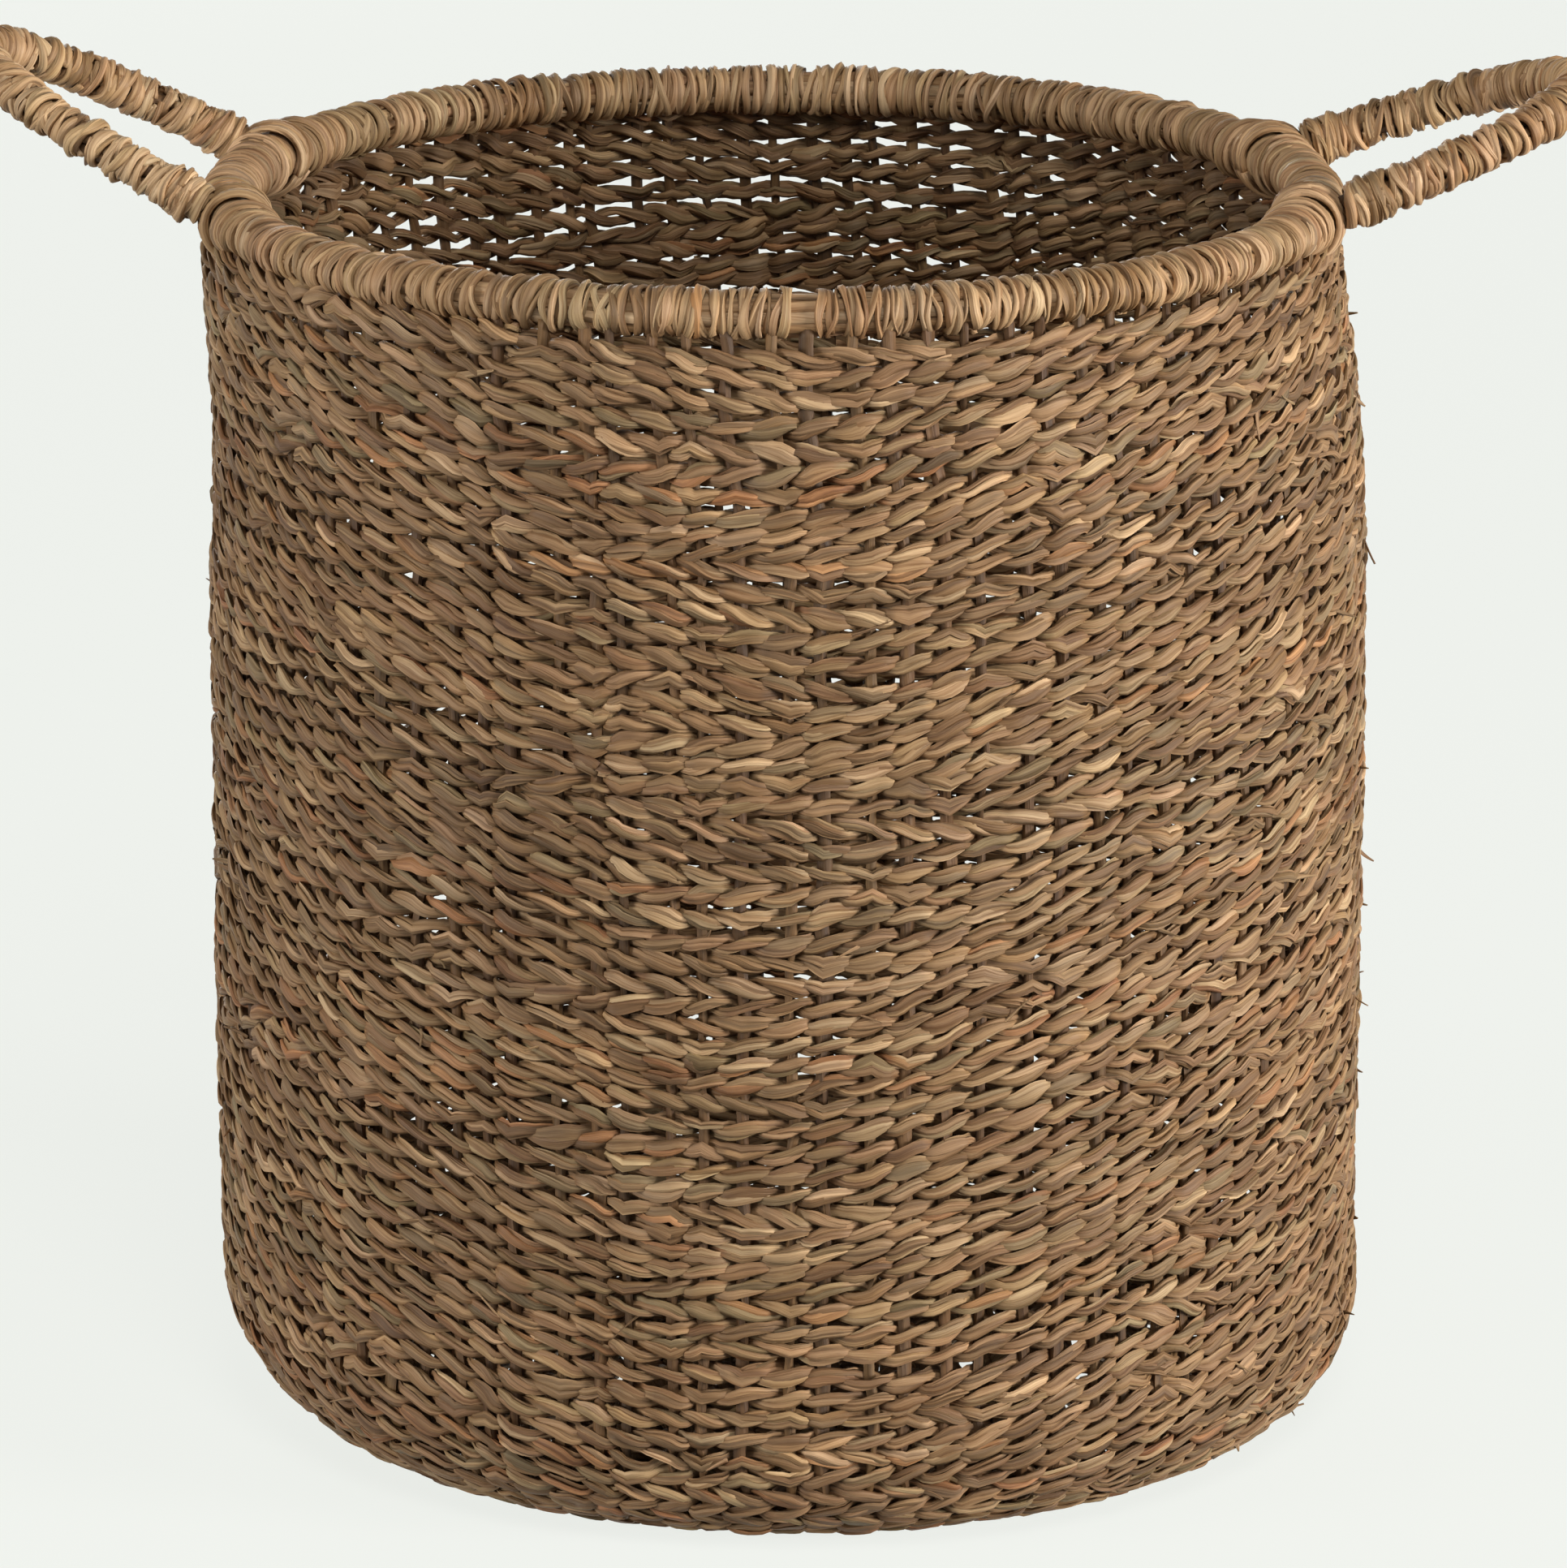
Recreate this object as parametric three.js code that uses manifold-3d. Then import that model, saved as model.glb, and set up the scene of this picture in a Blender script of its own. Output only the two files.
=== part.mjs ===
// Seagrass storage basket: twined wall and base, bound rim, two wrapped rope handles that swing.
// Millimetres, +Z up. The origin is the centre of the base's underside, on the floor.

import * as THREE from "three";
import { mergeVertices } from "three/addons/utils/BufferGeometryUtils.js";
import Module from "manifold-3d";

const wasm = await Module();
wasm.setup();

// ---- Driving dimensions ----

const overallHeight = 380; // floor to the top of the rim
const clearance = 0.3; // between pieces that touch
const roundSteps = 48; // facets around the basket

// Rim: a hoop of bundled grass, bound round and round with a flat strand
const rimRadius = 162; // to the hoop's centre line
const rimHalfWidth = 8.9; // over the binding
const rimHalfHeight = 8;
const bindingThickness = 2.2;
const rimSteps = 14; // facets around the rim's section

// Wall: outside radii, given by how far they stand out past the rim's centre line
const wallThickness = 7;
const wallTopOverhang = 8.6;
const wallBellyOverhang = 13.3;
const wallFootOverhang = 12.7;
const wallBands = 8; // bands of weaving, one splice of the wefts to the next
const neckHeight = 6; // where the wall draws in below the rim
const tongueThickness = 3.6; // stake ends that go up into the rim

// Base
const baseThickness = 7;
const cornerRadius = 45; // outside of the turn from base to wall
const cornerSteps = 2; // facets up each of its rings
const startRadius = 22; // where the stakes cross
const baseRings = 3; // flat, with as many again round the corner

// Handles: rope loops, each lashed round the rim at two feet
const footHalfSpan = 47; // from the loop's middle to each foot, along the hinge line
const loopReach = 92; // hinge line to the middle of the bow
const handleRopeRadius = 4;
const handleWrapRadius = 6.5;
const handleSetBack = 3.5; // degrees both loops sit behind the basket's middle
const leftSplay = 27; // degrees above level
const rightSplay = 20;
const lashingWidth = 12;
const lashingThickness = 2.4;
const lashingClearance = 0.6; // to the rim inside it and to the slot it passes through
const loopSteps = 26;
const ropeFacets = 10;
const lashingFacets = 20;

// ---- Places worked out from them ----

const rimHeight = overallHeight - rimHalfHeight;
const rimUnderside = rimHeight - rimHalfHeight;
const wallTop = rimUnderside - neckHeight;
const flatRadius = rimRadius + wallFootOverhang - cornerRadius;

const hingeDistance = Math.sqrt(rimRadius ** 2 - footHalfSpan ** 2);
const lashingBore = lashingBoreRadius();
const lashingRadius = lashingBore + lashingThickness;

// The rim crosses the hinge line at a slant, so the bore clears it at both ends of a lashing
function lashingBoreRadius() {
  const ends = [footHalfSpan - lashingWidth / 2, footHalfSpan + lashingWidth / 2];
  const reach = ends.map((along) => {
    const slant = Math.asin(along / rimRadius);
    const offset = Math.abs(rimRadius * Math.cos(slant) - hingeDistance);
    return offset + rimHalfWidth / Math.cos(slant);
  });
  return Math.max(...reach) + lashingClearance;
}

// The wall's outside radius: a parabola through foot, belly and top
function wallOutside(height) {
  const up = (height - cornerRadius) / (wallTop - cornerRadius);
  const foot = wallFootOverhang * (1 - up) * (1 - 2 * up);
  const belly = wallBellyOverhang * 4 * up * (1 - up);
  const top = wallTopOverhang * up * (2 * up - 1);
  return rimRadius + foot + belly + top;
}

// ---- Materials ----

function plaited(color) {
  return new THREE.MeshStandardMaterial({ color, roughness: 0.8, metalness: 0 });
}

const weave = plaited(0x8f7453);
const baseWeave = plaited(0x86694a);
const binding = plaited(0xa98b66);
const coreGrass = plaited(0xb59a72);

// ---- Geometry helpers ----

// Revolves a closed outline of [radius, height] points about the vertical axis
function ringGeometry(outline) {
  const points = [...outline, outline[0]].map(([radius, height]) => new THREE.Vector2(radius, height));
  return new THREE.LatheGeometry(points, roundSteps).rotateX(Math.PI / 2);
}

// Points along part of an ellipse, its angle measured from straight down
function ellipsePoints(halfWidth, halfHeight, from, to, steps) {
  return Array.from({ length: steps + 1 }, (_, step) => {
    const angle = from + ((to - from) * step) / steps;
    return [rimRadius + halfWidth * Math.sin(angle), rimHeight - halfHeight * Math.cos(angle)];
  });
}

function toSolid(geometry) {
  const bare = geometry.clone();
  bare.deleteAttribute("normal");
  bare.deleteAttribute("uv");
  const merged = mergeVertices(bare, 1e-3);
  const vertProperties = Float32Array.from(merged.attributes.position.array);
  const triVerts = Uint32Array.from(merged.index.array);
  const mesh = new wasm.Mesh({ numProp: 3, vertProperties, triVerts });
  mesh.merge();
  return new wasm.Manifold(mesh);
}

function toGeometry(solid) {
  const { vertProperties, triVerts } = solid.getMesh();
  const geometry = new THREE.BufferGeometry();
  geometry.setAttribute("position", new THREE.BufferAttribute(vertProperties, 3));
  geometry.setIndex(new THREE.BufferAttribute(triVerts, 1));
  geometry.computeVertexNormals();
  return geometry;
}

function piece(name, geometry, material) {
  const mesh = new THREE.Mesh(geometry, material);
  mesh.name = name;
  return mesh;
}

// ---- Base ----

function baseStart() {
  const outline = [
    [0, 0],
    [startRadius - clearance, 0],
    [startRadius - clearance, baseThickness],
    [0, baseThickness],
  ];
  const points = outline.map(([radius, height]) => new THREE.Vector2(radius, height));
  const geometry = new THREE.LatheGeometry(points, roundSteps).rotateX(Math.PI / 2);
  return piece("base_start", geometry, baseWeave);
}

function baseRing(index) {
  const names = ["base_weave_inner", "base_weave_middle", "base_weave_outer"];
  const width = (flatRadius - startRadius) / baseRings;
  const inner = startRadius + index * width;
  const outer = inner + width - clearance;
  const outline = [
    [inner, 0],
    [outer, 0],
    [outer, baseThickness],
    [inner, baseThickness],
  ];
  return piece(names[index], ringGeometry(outline), baseWeave);
}

// The quarter turn from the flat base up into the wall is three rings, each a third of the turn
function cornerRing(index) {
  const names = ["base_corner_lower", "base_corner_middle", "base_corner_upper"];
  const turn = Math.PI / 2 / baseRings;
  const isLast = index === baseRings - 1;
  const start = index * turn;
  const end = start + turn - (isLast ? 0 : clearance / (cornerRadius - wallThickness));
  const arc = (radius, from, to) =>
    Array.from({ length: cornerSteps + 1 }, (_, step) => {
      const angle = from + ((to - from) * step) / cornerSteps;
      return [flatRadius + radius * Math.sin(angle), cornerRadius - radius * Math.cos(angle)];
    });
  const outside = arc(cornerRadius, start, end);
  const inside = arc(cornerRadius - wallThickness, end, start);
  return piece(names[index], ringGeometry([...outside, ...inside]), baseWeave);
}

// ---- Wall ----

function wallBand(index) {
  const height = (wallTop - cornerRadius) / wallBands;
  const low = cornerRadius + index * height + clearance;
  const high = low + height - clearance;
  const isTopBand = index === wallBands - 1;
  const top = isTopBand ? wallTop : high;
  const outline = [
    [wallOutside(low) - wallThickness, low],
    [wallOutside(low), low],
    [wallOutside(top), top],
    ...(isTopBand ? tongueOutline() : []),
    [wallOutside(top) - wallThickness, top],
  ];
  const name = `wall_weave_${index + 1}`;
  const geometry = ringGeometry(outline);
  return piece(name, isTopBand ? cutLashingSlots(geometry) : geometry, weave);
}

// The wall draws in to the stake ends, which stop just below the rim's core
function tongueOutline() {
  const half = tongueThickness / 2;
  const tip = rimUnderside + bindingThickness;
  return [
    [rimRadius + half, rimUnderside - clearance],
    [rimRadius + half, tip],
    [rimRadius - half, tip],
    [rimRadius - half, rimUnderside - clearance],
  ];
}

// Each lashing passes through the weave just under the rim
function cutLashingSlots(geometry) {
  const half = lashingWidth / 2 + lashingClearance;
  const bore = lashingBore - lashingClearance;
  const cutter = lashingGeometry(bore, lashingRadius + lashingClearance, half);
  let wall = toSolid(geometry);
  for (const side of ["left", "right"]) {
    for (const along of [-footHalfSpan, footHalfSpan]) {
      const place = handleFrame(side).multiply(new THREE.Matrix4().makeTranslation(0, along, 0));
      wall = wall.subtract(toSolid(cutter.clone().applyMatrix4(place)));
    }
  }
  return toGeometry(wall);
}

// ---- Rim ----

function rimCore() {
  const halfWidth = rimHalfWidth - bindingThickness - clearance;
  const halfHeight = rimHalfHeight - bindingThickness - clearance;
  const outline = ellipsePoints(halfWidth, halfHeight, 0, 2 * Math.PI, rimSteps / 2).slice(0, -1);
  return piece("rim_core", ringGeometry(outline), coreGrass);
}

// A tube open along its underside, where the stake ends go in
function rimBinding() {
  const slotHalf = tongueThickness / 2 + clearance;
  const innerHalfWidth = rimHalfWidth - bindingThickness;
  const innerHalfHeight = rimHalfHeight - bindingThickness;
  const outerStart = Math.asin(slotHalf / rimHalfWidth);
  const innerStart = Math.asin(slotHalf / innerHalfWidth);
  const turn = 2 * Math.PI;
  const outside = ellipsePoints(rimHalfWidth, rimHalfHeight, outerStart, turn - outerStart, rimSteps);
  const inside = ellipsePoints(innerHalfWidth, innerHalfHeight, turn - innerStart, innerStart, rimSteps);
  return piece("rim_binding", ringGeometry([...outside, ...inside]), binding);
}

// ---- Handles ----

// Half an ellipse in the XY plane: X runs out from the hinge line and Y along it
class LoopCurve extends THREE.Curve {
  constructor(startReach) {
    super();
    this.startAngle = Math.asin(startReach / loopReach);
  }

  getPoint(t, target = new THREE.Vector3()) {
    const angle = THREE.MathUtils.lerp(this.startAngle, Math.PI - this.startAngle, t);
    return target.set(loopReach * Math.sin(angle), footHalfSpan * Math.cos(angle), 0);
  }
}

// A ring about the hinge line, with square edges
function lashingGeometry(bore, radius, halfWidth) {
  const corners = [
    [bore, -halfWidth],
    [radius, -halfWidth],
    [radius, halfWidth],
    [bore, halfWidth],
    [bore, -halfWidth],
  ];
  const points = corners.map(([out, along]) => new THREE.Vector2(out, along));
  return new THREE.LatheGeometry(points, lashingFacets);
}

function circlePoints(radius) {
  return Array.from({ length: ropeFacets }, (_, index) => {
    const angle = (2 * Math.PI * index) / ropeFacets;
    return new THREE.Vector2(radius * Math.cos(angle), radius * Math.sin(angle));
  });
}

// The loop leaves the lashings at a slight slant, so its square ends stand back by that much more
function alongLoop(shape) {
  const square = lashingRadius + clearance;
  const slant = Math.atan((footHalfSpan / loopReach) * Math.tan(Math.asin(square / loopReach)));
  const extrudePath = new LoopCurve(square + handleWrapRadius * Math.sin(slant));
  return new THREE.ExtrudeGeometry(shape, { steps: loopSteps, extrudePath });
}

function handleCoreGeometry() {
  return alongLoop(new THREE.Shape(circlePoints(handleRopeRadius)));
}

function handleWrapGeometry() {
  const shape = new THREE.Shape(circlePoints(handleWrapRadius));
  shape.holes.push(new THREE.Path(circlePoints(handleRopeRadius + clearance).reverse()));
  return alongLoop(shape);
}

// From the handle's own frame, with X out from the hinge line and Y along it, to the basket's
function handleFrame(side) {
  const setBack = THREE.MathUtils.degToRad(handleSetBack);
  const bearing = side === "left" ? Math.PI - setBack : setBack;
  const turn = new THREE.Matrix4().makeRotationZ(bearing);
  return turn.multiply(new THREE.Matrix4().makeTranslation(hingeDistance, 0, rimHeight));
}

function handle(side, splay) {
  const group = new THREE.Group();
  group.applyMatrix4(handleFrame(side));
  group.rotateY(-THREE.MathUtils.degToRad(splay));
  group.add(piece(`${side}_handle_rope`, handleCoreGeometry(), coreGrass));
  group.add(piece(`${side}_handle_wrap`, handleWrapGeometry(), binding));
  for (const [foot, along] of footPlaces(side)) {
    const geometry = lashingGeometry(lashingBore, lashingRadius, lashingWidth / 2);
    const lashing = piece(`${side}_handle_${foot}_lashing`, geometry, binding);
    lashing.position.y = along;
    group.add(lashing);
  }
  return group;
}

// Y runs along the hinge line, forwards on the left handle and backwards on the right
function footPlaces(side) {
  const front = side === "left" ? footHalfSpan : -footHalfSpan;
  return [["front", front], ["rear", -front]];
}

// ---- Assembly ----

const basket = new THREE.Group();
basket.add(baseStart());
for (let index = 0; index < baseRings; index += 1) {
  basket.add(baseRing(index), cornerRing(index));
}
for (let index = 0; index < wallBands; index += 1) {
  basket.add(wallBand(index));
}
basket.add(rimCore(), rimBinding());
basket.add(handle("left", leftSplay), handle("right", rightSplay));

export default basket;
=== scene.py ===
"""Seagrass storage basket: a twined wall on upright stakes, a bound rim and two wrapped rope handles.

Every strand is a creased flat tube, laid along the path it takes through the weave.
"""

import math

import bpy
import numpy as np
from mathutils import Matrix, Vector


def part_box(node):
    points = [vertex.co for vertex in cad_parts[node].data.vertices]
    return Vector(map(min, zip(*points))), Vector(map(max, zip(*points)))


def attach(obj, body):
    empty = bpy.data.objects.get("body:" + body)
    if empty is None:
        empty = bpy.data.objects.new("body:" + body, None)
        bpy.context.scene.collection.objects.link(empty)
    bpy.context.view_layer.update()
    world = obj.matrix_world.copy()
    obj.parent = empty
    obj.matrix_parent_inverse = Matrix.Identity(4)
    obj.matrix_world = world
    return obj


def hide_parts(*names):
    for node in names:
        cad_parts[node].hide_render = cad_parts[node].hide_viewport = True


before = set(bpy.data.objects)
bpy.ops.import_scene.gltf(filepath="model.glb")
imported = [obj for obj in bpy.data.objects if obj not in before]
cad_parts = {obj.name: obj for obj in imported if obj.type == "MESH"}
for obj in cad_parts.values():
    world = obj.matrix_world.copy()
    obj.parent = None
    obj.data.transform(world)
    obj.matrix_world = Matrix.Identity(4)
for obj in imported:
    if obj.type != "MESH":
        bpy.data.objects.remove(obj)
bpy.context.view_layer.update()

MM = 0.001

# ---- Sizes read from the frame ----

WALL_BANDS = [f"wall_weave_{number}" for number in range(1, 9)]
BASE_RINGS = ["base_weave_inner", "base_weave_middle", "base_weave_outer"]
CORNER_RINGS = ["base_corner_lower", "base_corner_middle", "base_corner_upper"]


def low(node, axis):
    """A node's lowest coordinate along one axis: 0 is X, 1 is Y and 2 is Z."""
    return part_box(node)[0][axis]


def high(node, axis):
    """A node's highest coordinate along one axis."""
    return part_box(node)[1][axis]


THICKNESS = high("base_start", 2)
START_RADIUS = high("base_start", 0)
CORNER_RADIUS = high("base_corner_upper", 2)
FOOT_RADIUS = high("base_corner_upper", 0)
FLAT_RADIUS = FOOT_RADIUS - CORNER_RADIUS
RIM_TOP = high("rim_binding", 2)
RIM_BOTTOM = low("rim_binding", 2)
RIM_HEIGHT = (RIM_TOP + RIM_BOTTOM) / 2
RIM_HALF_HEIGHT = (RIM_TOP - RIM_BOTTOM) / 2
RIM_OUTSIDE = high("rim_binding", 0)

# ---- Sizes of the strands ----

STAKES = 92
COURSE_PITCH = 6.3 * MM
RINGS_PER_STITCH = 6
BLADES = 3  # of grass in each ply, which turn round each other
BLADE_HALF_WIDTH = 1.55 * MM
BLADE_HALF_THICKNESS = 0.8 * MM
BLADE_APART = 1.0 * MM
BLADE_TURN = 1.1  # radians in each stitch
PLY_DEPTH = 2.1 * MM  # how far a ply swings in and out round the stakes
PLY_RISE = 1.6 * MM  # how far it climbs over its partner
FRONT_SHARE = 0.4  # how much longer a ply stays outside than inside
SIDE_CHANGE = -0.08  # the stitches change slant where the cosine of their bearing passes this
TURNED_STITCHES = 0.05  # share of the stitches that slant the other way
SHORTEST_SPLICE = 3  # stitches from one change of strand to the next
LONGEST_SPLICE = 25
STAKE_HALF_WIDTH = 2.0 * MM
CROSSED_STRANDS = 9  # each way at the middle of the base
INNER_STAKES = 32  # in the innermost ring of the base
MIDDLE_STAKES = 64
LOOSE_ENDS = 210
BINDING_HALF_WIDTH = 1.35 * MM
BINDING_HALF_THICKNESS = 1.1 * MM

# ---- How deep a strand's creases are, as a share of its half width and half thickness ----

BLADE_CREASE = 0.24
BINDING_CREASE = 0.22
STAKE_CREASE = 0.16
LOOSE_END_CREASE = 0.15
BUNDLE_CREASE = 0.14
PLAIN_CREASE = 0.1

# ---- How the woven body differs from a round one ----

BODY_SHIFT = 5 * MM  # it sits a little to the right of the rim
SHIFT_BLEND = 70 * MM  # height below the rim over which that comes in
WAIST = 1.2 * MM  # how much narrower it is lower down
WAIST_HEIGHT = 0.7 * RIM_BOTTOM
WAIST_BLEND = 0.25 * RIM_BOTTOM
CORNER_SWELL = 7.5 * MM  # the corner is fullest at the front right
SWELL_BEARING = math.radians(-50)
SWELL_ALL_ROUND = 0.32  # the share of the swell that doesn't depend on the bearing
WOBBLES = 14  # slow waves in the courses
WOBBLE_HEIGHT = 0.8 * MM

# ---- The rim's turns ----

RIM_HALF_WIDTH = 1.11 * RIM_HALF_HEIGHT
BINDING_PITCH = 2.5 * MM
HOLE_GAP = 7.0 * MM  # between the holes that the binding goes down through
RIM_HOLE = -1.2  # their angle round the rim's section: under it, a little outside
GAP_ASIDE = 9 * MM  # how far right of the front's middle the turns leave a gap
GAP_HALF_WIDTH = 3.4 * MM
OVER_TURNS = 140  # that slant over the close ones
RIM_STRANDS = 9  # in the bundle inside

# ---- The handles' turns ----

HANDLE_RADIUS = 6.5 * MM
HANDLE_PITCH = 1.9 * MM
HANDLE_OVER_TURNS = 60
ROPE_STRANDS = 3
ROPE_TWIST = 9 * MM  # along the rope for each radian
LASHING_INSET = 2.9 * MM  # inside the frame's lashing
LASHING_HALF_LENGTH = 4.6 * MM
LASHING_TURNS = 6

# ---- Colours of the grass, as seen in daylight ----


def linear(red, green, blue):
    """A colour given as 0 to 255 screen values, in linear light."""
    return np.array([(value / 255) ** 2.2 for value in (red, green, blue)])


WALL_COLOURS = [
    (linear(157, 125, 89), 6),
    (linear(147, 115, 81), 5),
    (linear(134, 102, 70), 3),
    (linear(144, 120, 86), 1.5),
    (linear(162, 117, 78), 0.8),
    (linear(182, 150, 112), 1.8),
]
BINDING_COLOURS = [
    (linear(187, 153, 113), 6),
    (linear(178, 143, 104), 5),
    (linear(162, 127, 90), 3),
    (linear(199, 167, 128), 2.5),
    (linear(184, 136, 88), 0.2),
]
# The stakes' own pale straw, darkened: painted shade, so that the stakes seen in the gaps between
# plies read as the shade there.
STAKE_COLOURS_WITH_PAINTED_SHADE = [
    (linear(138, 108, 74), 1),
    (linear(112, 84, 54), 3),
    (linear(92, 67, 42), 3),
]

# ---- Small tools ----


def unit(vectors):
    return vectors / np.maximum(np.linalg.norm(vectors, axis=-1, keepdims=True), 1e-12)


def smoothstep(value):
    value = np.clip(value, 0, 1)
    return value * value * (3 - 2 * value)


def wander(rng, count, step):
    """Noise of about unit size that takes `step` samples to change."""
    places = np.arange(count) / step
    knots = rng.normal(size=int(count / step) + 3)
    lower = np.floor(places).astype(int)
    blend = smoothstep(places - lower)
    return knots[lower] * (1 - blend) + knots[lower + 1] * blend


def pick_tint(rng, palette):
    """One of the palette's colours, by its weight, made a little lighter or darker."""
    weights = np.array([weight for _, weight in palette])
    colour = palette[rng.choice(len(palette), p=weights / weights.sum())][0]
    return colour * rng.uniform(0.85, 1.12) * rng.uniform(0.97, 1.03, 3)


# ---- A mesh of strands ----


class Strands:
    """Strands of grass gathered into one mesh: creased flat tubes, each with its own colour."""

    def __init__(self, seed, facets=8):
        self.rng = np.random.default_rng(seed)
        self.facets = facets
        self.points = []
        self.quads = []
        self.tints = []
        self.folded = []
        self.grains = []
        self.map_along = []
        self.map_across = []
        self.point_count = 0
        self.length = 0.0
        self.girth = 0.0

    def add(self, centres, outward, half_width, half_thickness, tint, crease=PLAIN_CREASE):
        """Lays one strand along `centres`, its flat side facing `outward`."""
        rings = len(centres)
        facets = self.facets
        steps = np.linalg.norm(np.diff(centres, axis=0), axis=1)
        travelled = np.concatenate([[0], np.cumsum(steps)])
        along = unit(np.gradient(centres, axis=0))
        outward = np.broadcast_to(outward, centres.shape)
        normal = unit(outward - np.sum(outward * along, axis=1, keepdims=True) * along)
        side = np.cross(along, normal)

        start = self.rng.uniform(0, 2 * math.pi)
        hand = self.rng.choice([-1, 1])
        roll = start + hand * self.rng.uniform(20, 70) * travelled[:, None]
        turn = np.linspace(0, 2 * math.pi, facets, endpoint=False)[None, :] + roll
        fold, tone_and_painted_crease_shade, folded = self.folds(rings, crease)
        across = np.broadcast_to(half_width, rings)[:, None] * fold * np.cos(turn)
        through = np.broadcast_to(half_thickness, rings)[:, None] * fold * np.sin(turn)
        points = centres[:, None] + side[:, None] * across[..., None]
        points = points + normal[:, None] * through[..., None]

        grain = np.empty((rings, facets, 3))
        grain[..., 0] = 2.2 * np.cos(turn - roll)
        grain[..., 1] = 2.2 * np.sin(turn - roll)
        grain[..., 2] = 90 * travelled[:, None] + self.rng.uniform(0, 400)
        self.points.append(points.reshape(-1, 3))
        self.grains.append(grain.reshape(-1, 3))
        # Each line's colour is the strand's tint times its random tone and its painted crease shade.
        tints = np.broadcast_to(tint, (rings, 3))[:, None, :] * tone_and_painted_crease_shade[None, :, None]
        self.tints.append(tints.reshape(-1, 3))
        self.folded.append(np.tile(folded, rings))
        self.add_faces(rings, travelled)
        self.girth = max(self.girth, 4 * float(np.mean(half_width)))

    def folds(self, rings, crease):
        """How far each line along the strand stands out, its random tone with painted shade that
        darkens the creased lines, and whether it is a sharp fold.
        """
        lines = 1 + self.rng.normal(0, 0.3 * crease, self.facets)
        tone_and_painted_crease_shade = self.rng.uniform(0.94, 1.12, self.facets)
        creased = self.rng.choice(self.facets, max(2, self.facets // 3), replace=False)
        folded = np.zeros(self.facets, dtype=bool)
        folded[creased] = True
        folded[(creased + 1) % self.facets] = True
        lines[creased] -= crease * self.rng.uniform(1.0, 2.2, len(creased))
        # Painted shade: the creased lines are darkened in colour, standing in for the shade that falls
        # in a crease.
        tone_and_painted_crease_shade[creased] *= self.rng.uniform(0.55, 0.85, len(creased))
        rings_to_change = 6
        changes = rings // rings_to_change + 3
        change = self.rng.normal(0, 0.35 * crease, (changes, self.facets))
        places = np.arange(rings) / rings_to_change
        lower = np.floor(places).astype(int)
        blend = smoothstep(places - lower)[:, None]
        fold = lines + change[lower] * (1 - blend) + change[lower + 1] * blend
        return fold, tone_and_painted_crease_shade, folded

    def add_faces(self, rings, travelled):
        """The faces round one strand, those that close its ends, and where each lies on the map."""
        facets = self.facets
        first = self.point_count
        ring, facet = np.meshgrid(np.arange(rings - 1), np.arange(facets), indexing="ij")
        following = (facet + 1) % facets
        side_quads = np.stack(
            [
                ring * facets + facet,
                ring * facets + following,
                (ring + 1) * facets + following,
                (ring + 1) * facets + facet,
            ],
            axis=-1,
        ).reshape(-1, 4)
        near = self.length + travelled[ring]
        far = self.length + travelled[ring + 1]
        along = np.stack([near, near, far, far], axis=-1).reshape(-1, 4)
        across = np.stack([facet, facet + 1, facet + 1, facet], axis=-1).reshape(-1, 4) / facets

        index = np.arange(facets // 2 - 1)
        cap = np.stack([index, index + 1, facets - 2 - index, facets - 1 - index], axis=-1)
        cap_across = np.stack([index, index + 1, index + 1, index], axis=-1) / facets
        cap_along = np.tile([0, 0, MM, MM], (len(index), 1))
        end = self.length + travelled[-1]
        self.quads += [
            first + side_quads,
            first + cap[:, ::-1],
            first + (rings - 1) * facets + cap,
        ]
        self.map_along += [along, self.length - MM + cap_along[:, ::-1], end + cap_along]
        self.map_across += [across, cap_across[:, ::-1], cap_across]
        self.point_count += rings * facets
        self.length = end + 3 * MM

    def build(self, name, material, body, replaced=()):
        """Makes the mesh and hands it to the frame."""
        points = np.concatenate(self.points).astype(np.float32)
        quads = np.concatenate(self.quads).astype(np.int32)
        mesh = bpy.data.meshes.new(name)
        mesh.vertices.add(len(points))
        mesh.vertices.foreach_set("co", points.ravel())
        mesh.loops.add(quads.size)
        mesh.loops.foreach_set("vertex_index", quads.ravel())
        mesh.polygons.add(len(quads))
        mesh.polygons.foreach_set("loop_start", np.arange(0, quads.size, 4, dtype=np.int32))
        mesh.polygons.foreach_set("use_smooth", np.ones(len(quads), dtype=bool))
        mesh.update(calc_edges=True)
        self.sharpen_folds(mesh)

        tint = mesh.attributes.new("tint", "FLOAT_COLOR", "POINT")
        colours = np.ones((len(points), 4), dtype=np.float32)
        colours[:, :3] = np.concatenate(self.tints)
        tint.data.foreach_set("color", colours.ravel())
        grain = mesh.attributes.new("grain", "FLOAT_VECTOR", "POINT")
        grain.data.foreach_set("vector", np.concatenate(self.grains).astype(np.float32).ravel())
        self.lay_out_map(mesh)

        mesh.materials.append(material)
        piece = bpy.data.objects.new(name, mesh)
        bpy.context.scene.collection.objects.link(piece)
        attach(piece, body)
        if replaced:
            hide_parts(*replaced)

    def sharpen_folds(self, mesh):
        """Edges that run along a fold are sharp."""
        ends = np.empty(2 * len(mesh.edges), dtype=np.int32)
        mesh.edges.foreach_get("vertices", ends)
        ends = ends.reshape(-1, 2)
        lengthwise = np.abs(ends[:, 0] - ends[:, 1]) == self.facets
        sharp = lengthwise & np.concatenate(self.folded)[ends[:, 0]]
        layer = mesh.attributes.new("sharp_edge", "BOOLEAN", "EDGE")
        layer.data.foreach_set("value", sharp)

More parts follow.
